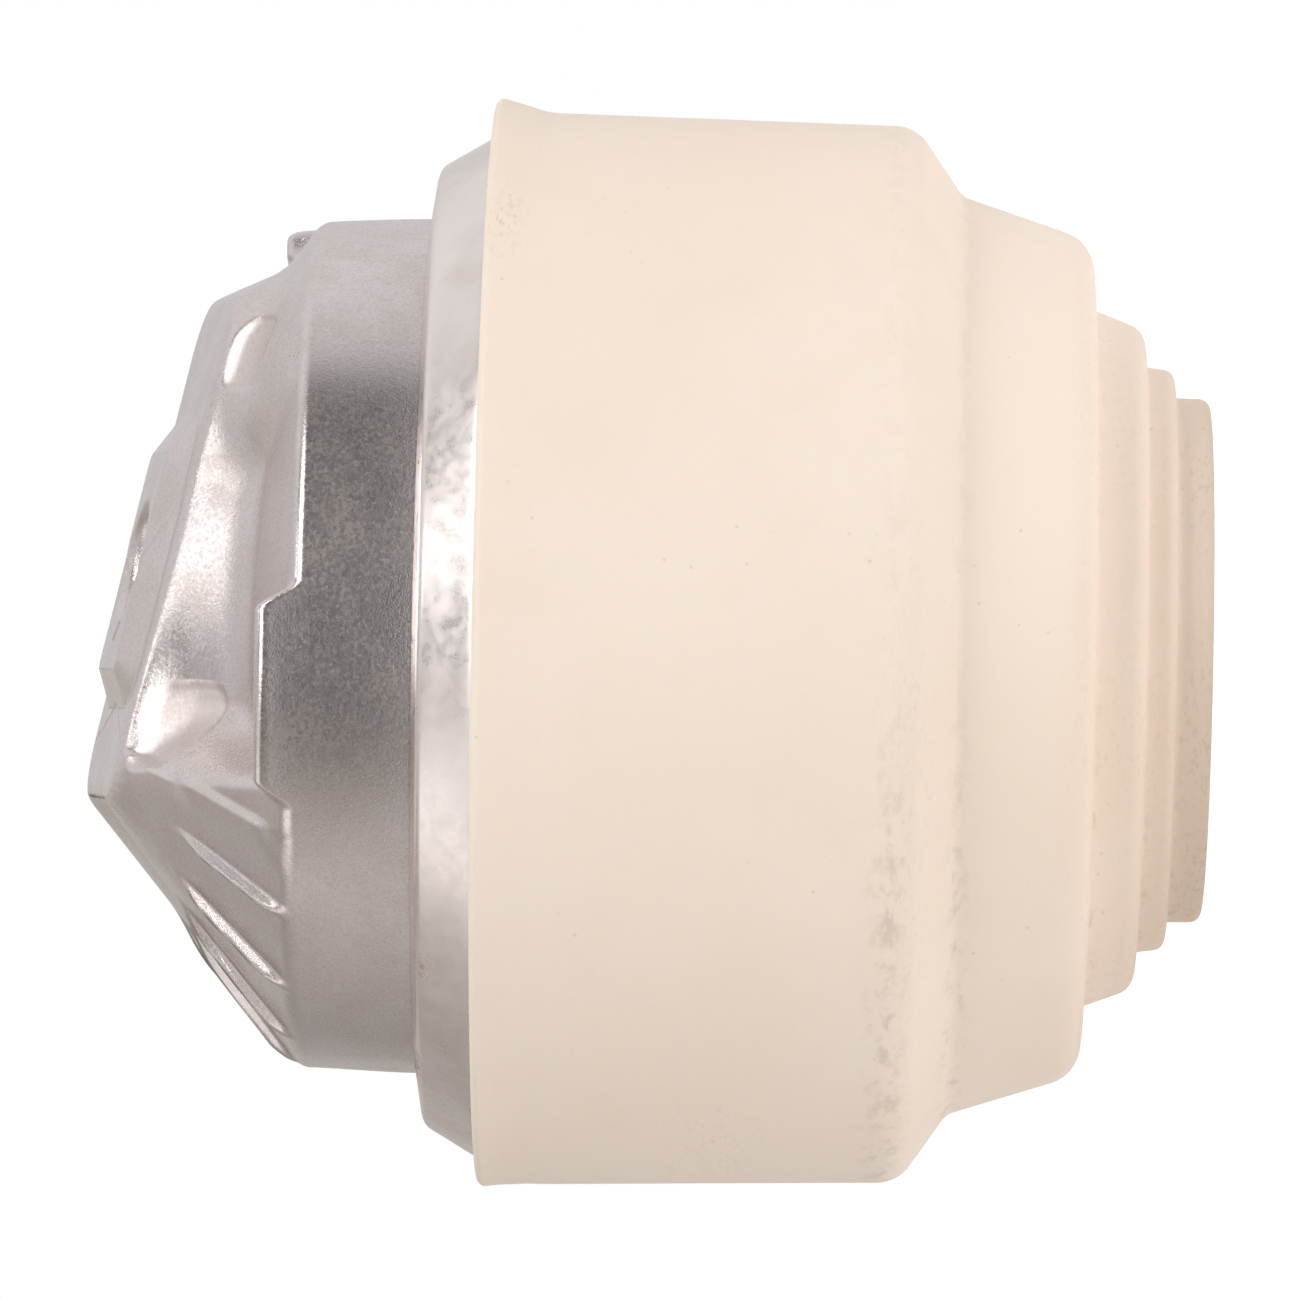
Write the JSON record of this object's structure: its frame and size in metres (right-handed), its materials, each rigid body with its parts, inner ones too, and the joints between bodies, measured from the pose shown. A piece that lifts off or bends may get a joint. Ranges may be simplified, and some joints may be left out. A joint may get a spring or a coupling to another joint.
{
  "type": "hydraulic engine mount",
  "caption": "Hydraulic vibration mount with a pressed aluminium pot, an inclined threaded seat, a crimped steel ring and a stepped push-on protective cap.",
  "frame": {"origin": "centre of the cap's flat base, which the part stands on", "axes": "+Z along the axis from the cap to the seat, +X along the seat towards its low end, -Y towards the first lug"},
  "size_m": [0.0878, 0.0878, 0.0905],
  "materials": {
    "cap": "matte",
    "pot": "satin",
    "plated": "satin",
    "steel": "satin",
    "rubber": "matte",
    "plastic": "matte"
  },
  "bodies": {
    "cap": {"cap": "cap"},
    "housing": {"crimp_ring": "plated", "pot": "pot", "seat_nut": "steel", "diaphragm": "rubber", "diaphragm_ring": "steel", "lower_track_plate": "plastic", "upper_track_plate": "plastic", "track_seal": "rubber", "spring_ring": "steel", "main_spring": "rubber", "stop_cover": "steel"},
    "core": {"core": "pot", "stop_plate": "steel", "rebound_buffer": "rubber", "locator_pin": "steel"},
    "decoupler": {"decoupler": "rubber"}
  },
  "joints": [
    {"name": "cap_lift", "type": "slide", "parent": "cap", "child": "housing", "axis": [0, 0, 1], "range_m": [0, 0.06]},
    {"name": "core_bounce", "type": "slide", "parent": "housing", "child": "core", "axis": [0, 0, 1], "range_m": [-0.004, 0.006], "stiffness_N_per_m": 200000, "deforming": ["main_spring"]},
    {"name": "decoupler_float", "type": "slide", "parent": "housing", "child": "decoupler", "axis": [0, 0, 1], "range_m": [0, 0.0013]}
  ]
}
